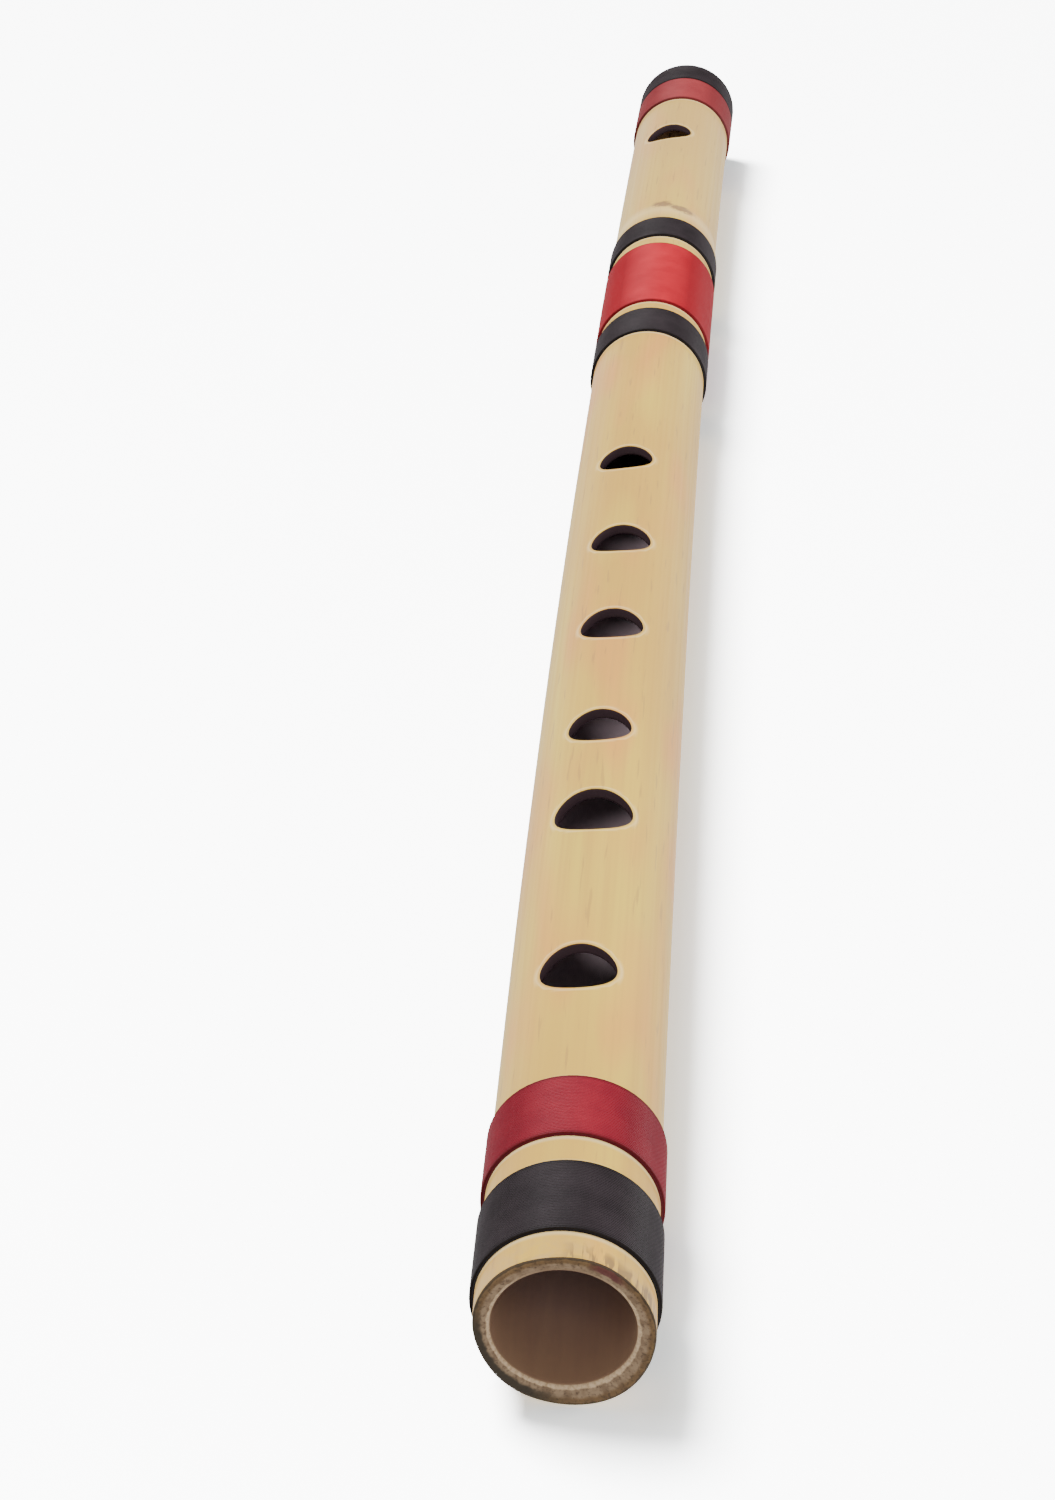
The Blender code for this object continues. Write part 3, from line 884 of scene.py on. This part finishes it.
def thread_route(start, end, rng):
    """Turn, place and radius along the one thread of a winding, ends diving under it."""
    turns = max(2, round((end - start - THREAD_WIDTH) / THREAD_PITCH))
    pitch = (end - start - THREAD_WIDTH) / turns
    steps = np.arange(turns * THREAD_STEPS + 1) / THREAD_STEPS
    knots = np.arange(turns + 2)
    radius_shift = np.interp(steps, knots, rng.normal(0, RADIUS_JITTER, len(knots)))
    place_shift = np.interp(steps, knots, rng.normal(0, PLACE_JITTER, len(knots)))
    place_shift *= np.clip(np.minimum(steps, turns - steps), 0, 1)
    turn = math.pi + TAU * steps
    place = start + THREAD_WIDTH / 2 + pitch * steps + place_shift
    radius = WINDING_RADIUS - THREAD_HEIGHT / 2 - abs(radius_shift)
    tail = np.arange(1, THREAD_TAIL + 1)
    dive = THREAD_HEIGHT * tail / THREAD_TAIL
    step = TAU * tail / THREAD_STEPS
    turn = np.concatenate([(turn[0] - step)[::-1], turn, turn[-1] + step])
    place = np.concatenate([np.full(THREAD_TAIL, place[0]), place, np.full(THREAD_TAIL, place[-1])])
    radius = np.concatenate([(radius[0] - dive)[::-1], radius, radius[-1] - dive])
    return turn, place, radius


def add_thread(solid, turn, place, radius):
    # edge: share of the painted shade at the winding's ends
    from_end = np.minimum(place - place.min(), place.max() - place)
    edge = np.clip(1 - from_end / EDGE_SHADE_REACH, 0, 1)
    around = TAU * np.arange(THREAD_SIDES) / THREAD_SIDES + math.pi
    centre = wrap(radius, turn, place)
    outward = np.stack([np.sin(turn), np.zeros_like(turn), np.cos(turn)], axis=-1)
    along = np.array([0.0, 1.0, 0.0])
    rise = np.cos(around)[:, None, None] * THREAD_HEIGHT / 2
    spread = np.sin(around)[:, None, None] * THREAD_WIDTH / 2
    points = np.moveaxis(centre + rise * outward + spread * along, 0, 1)
    length = CANE_RADIUS * (turn - turn[0])
    strand = 2 * around[None, :] + (TAU * length / THREAD_TWIST)[:, None]
    marks = {"place": place, "sine": np.sin(turn), "cosine": np.cos(turn), "edge": edge}
    marks = {name: value[:, None] for name, value in marks.items()}
    numbers = solid.add(points, strand=strand, **marks)
    following = np.roll(numbers, -1, axis=1)
    quads = np.stack([numbers[:-1], numbers[1:], following[1:], following[:-1]], axis=-1).reshape(-1, 4)
    solid.faces.append(quads)
    solid.slots.append(np.zeros(len(quads)))
    for ring, step in ((numbers[0], 1), (numbers[-1], -1)):
        solid.faces.append(ring[::step][None, :])
        solid.slots.append(np.zeros(1))


def add_under_layer(solid, start, end):
    """The inner layers, which show only as a rounded step at the ends of a winding."""
    turns = TAU * np.arange(THREAD_STEPS) / THREAD_STEPS
    top = WINDING_RADIUS - UNDER_LAYER_DROP
    base = CANE_RADIUS - UNDER_LAYER_SINK
    first = start + UNDER_LAYER_INSET
    profile = [(first, base)]
    for share in (0.35, 0.7, 0.9, 1.0):
        rounding = THREAD_WIDTH / 2 * (1 - math.sqrt(1 - share**2))
        profile.append((first + rounding, base + (top - base) * share))
    profile += [(end - (place - start), radius) for place, radius in profile[::-1]]
    rows = []
    for place, radius in profile:
        # The step at a winding's end takes the full painted shade of the thread's ends.
        marks = {"place": place, "sine": np.sin(turns), "cosine": np.cos(turns), "strand": 0.0, "edge": 1.0}
        rows.append(solid.add(wrap(radius, turns, place), **marks))
    solid.loft(rows + [rows[0]])


def make_winding(node, finish, seed):
    start, end = winding_ends(node)
    solid = Solid()
    add_thread(solid, *thread_route(start, end, np.random.default_rng(seed)))
    add_under_layer(solid, start, end)
    winding = solid.build(node.replace("_winding", "_thread"), [finish])
    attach(winding, "flute")
    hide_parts(node)


def make_windings():
    """The threads in the order of the frame's nodes, which also gives each its seed."""
    reds = {
        # The last number is how much painted shade each thread takes at its sides.
        "foot": thread_finish("crimson_thread", "crimson", "pink sheen", 0.55),
        "middle": thread_finish("red_thread", "red", "pink sheen", 0.80),
        "head": thread_finish("dull_red_thread", "dull red", "pink sheen", 0.55),
    }
    black = thread_finish("black_thread", "black", "grey sheen", 0.0)
    for seed, node in enumerate(FLUTE_NODES, start=FIRST_THREAD_SEED):
        if "black" in node:
            make_winding(node, black, seed)
        elif "red" in node:
            make_winding(node, reds[node.split("_")[0]], seed)


def cork_profile(start, end):
    """Places and radii along the cork, from the middle of one end face to the middle of the other."""
    rim = CORK_RADIUS - CORK_CHAMFER
    radii = np.linspace(rim / CORK_RINGS, rim, CORK_RINGS)
    eased = CORK_CHAMFER * 0.3
    profile = [(start, radius) for radius in radii]
    profile += [(start + eased, CORK_RADIUS - eased)]
    sides = np.linspace(start + CORK_CHAMFER, end - CORK_CHAMFER, CORK_ROWS)
    profile += [(place, CORK_RADIUS) for place in sides]
    profile += [(end - eased, CORK_RADIUS - eased)]
    profile += [(end, radius) for radius in radii[::-1]]
    return np.array(profile)


def make_cork():
    """The stopper: a turned cork with small pits, tight in the bore."""
    start, end = place_of(CORK_LOW.y), place_of(CORK_HIGH.y)
    profile = cork_profile(start, end)
    turns = TAU * np.arange(COLUMNS) / COLUMNS
    points = wrap(profile[:, 1, None], turns[None, :], profile[:, 0, None], BORE_OFFSET)
    centre = wrap(0.0, 0.0, (start + end) / 2, BORE_OFFSET)
    rng = np.random.default_rng(PIT_SEED)
    for _ in range(CORK_PITS):
        pit = points[rng.integers(len(profile)), rng.integers(COLUMNS)]
        size = rng.uniform(*PIT_SIZES)
        away = np.linalg.norm(points - pit, axis=-1)
        depth = rng.uniform(*PIT_DEPTHS) * np.exp(-((away / size) ** 2))
        inward = centre - points
        points = points + depth[..., None] * inward / np.linalg.norm(inward, axis=-1, keepdims=True)
    solid = Solid()
    numbers = solid.add(points)
    solid.loft(list(numbers))
    middles = solid.add(wrap(0.0, 0.0, np.array([start, end]), BORE_OFFSET))
    solid.fan(numbers[0][::-1], middles[0])
    solid.fan(numbers[-1], middles[1])
    cork = solid.build("cork", [cork_finish()])
    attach(cork, "stopper")
    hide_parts("cork_stopper")


def make_floor():
    """A white table top. It takes its own soft light, so that it stays white behind the flute."""
    mesh = bpy.data.meshes.new("floor")
    side = FLOOR_CELLS + 1
    steps = np.linspace(-FLOOR_HALF, FLOOR_HALF, side)
    points = [(x, y, 0.0) for y in steps for x in steps]
    corners = [row * side + column for row in range(FLOOR_CELLS) for column in range(FLOOR_CELLS)]
    faces = [(corner, corner + 1, corner + side + 1, corner + side) for corner in corners]
    mesh.from_pydata(points, [], faces)
    mesh.materials.append(floor_finish())
    floor = bpy.data.objects.new("floor", mesh)
    floor.visible_diffuse = False
    floor.visible_glossy = False
    link(floor)
    data = bpy.data.lights.new("floor_light", "SUN")
    data.energy = FLOOR_LIGHT_STRENGTH
    data.angle = FLOOR_LIGHT_ANGLE
    light = bpy.data.objects.new("floor_light", data)
    light.rotation_euler = Vector(FLOOR_LIGHT_DIRECTION).to_track_quat("-Z", "Y").to_euler()
    lit = bpy.data.collections.new("floor_light_receivers")
    lit.objects.link(floor)
    light.light_linking.receiver_collection = lit
    link(light)


def make_camera():
    """The photograph's view."""
    level = math.cos(CAMERA_PITCH)
    forward = Vector((math.sin(CAMERA_YAW) * level, math.cos(CAMERA_YAW) * level, -math.sin(CAMERA_PITCH)))
    data = bpy.data.cameras.new("camera")
    data.lens = CAMERA_LENS
    data.sensor_width = 36.0
    data.clip_start = 0.01
    camera = bpy.data.objects.new("camera", data)
    camera.location = CAMERA_PLACE
    camera.rotation_euler = forward.to_track_quat("-Z", "Y").to_euler()
    link(camera)
    bpy.context.scene.camera = camera


def make_light(name, place, aim, size, power):
    data = bpy.data.lights.new(name, "AREA")
    data.shape = "DISK"
    data.size = size
    data.energy = power
    light = bpy.data.objects.new(name, data)
    light.location = place
    light.rotation_euler = (Vector(aim) - Vector(place)).to_track_quat("-Z", "Y").to_euler()
    link(light)


def make_room():
    """A white room that lights more from low down. The camera sees it all in one bright white."""
    world = bpy.data.worlds.new("studio")
    world.use_nodes = True
    tree = world.node_tree
    where = tree.nodes.new("ShaderNodeTexCoord")
    split = tree.nodes.new("ShaderNodeSeparateXYZ")
    level = tree.nodes.new("ShaderNodeMapRange")
    for number, value in enumerate((0.0, ROOM_FADE_END, ROOM_LIGHT_LOW, ROOM_LIGHT_HIGH), start=1):
        level.inputs[number].default_value = value
    path = tree.nodes.new("ShaderNodeLightPath")
    shown = tree.nodes.new("ShaderNodeMix")
    shown.inputs["B"].default_value = BACKDROP_STRENGTH
    background = tree.nodes["Background"]
    background.inputs["Color"].default_value = (1.0, 1.0, 1.0, 1.0)
    tree.links.new(where.outputs["Generated"], split.inputs[0])
    tree.links.new(split.outputs["Z"], level.inputs[0])
    tree.links.new(path.outputs["Is Camera Ray"], shown.inputs["Factor"])
    tree.links.new(level.outputs[0], shown.inputs["A"])
    tree.links.new(shown.outputs["Result"], background.inputs["Strength"])
    bpy.context.scene.world = world


make_camera()
make_cane()
make_windings()
make_cork()
make_floor()
make_room()
for light_name, settings in LIGHTS.items():
    make_light(light_name, *settings)
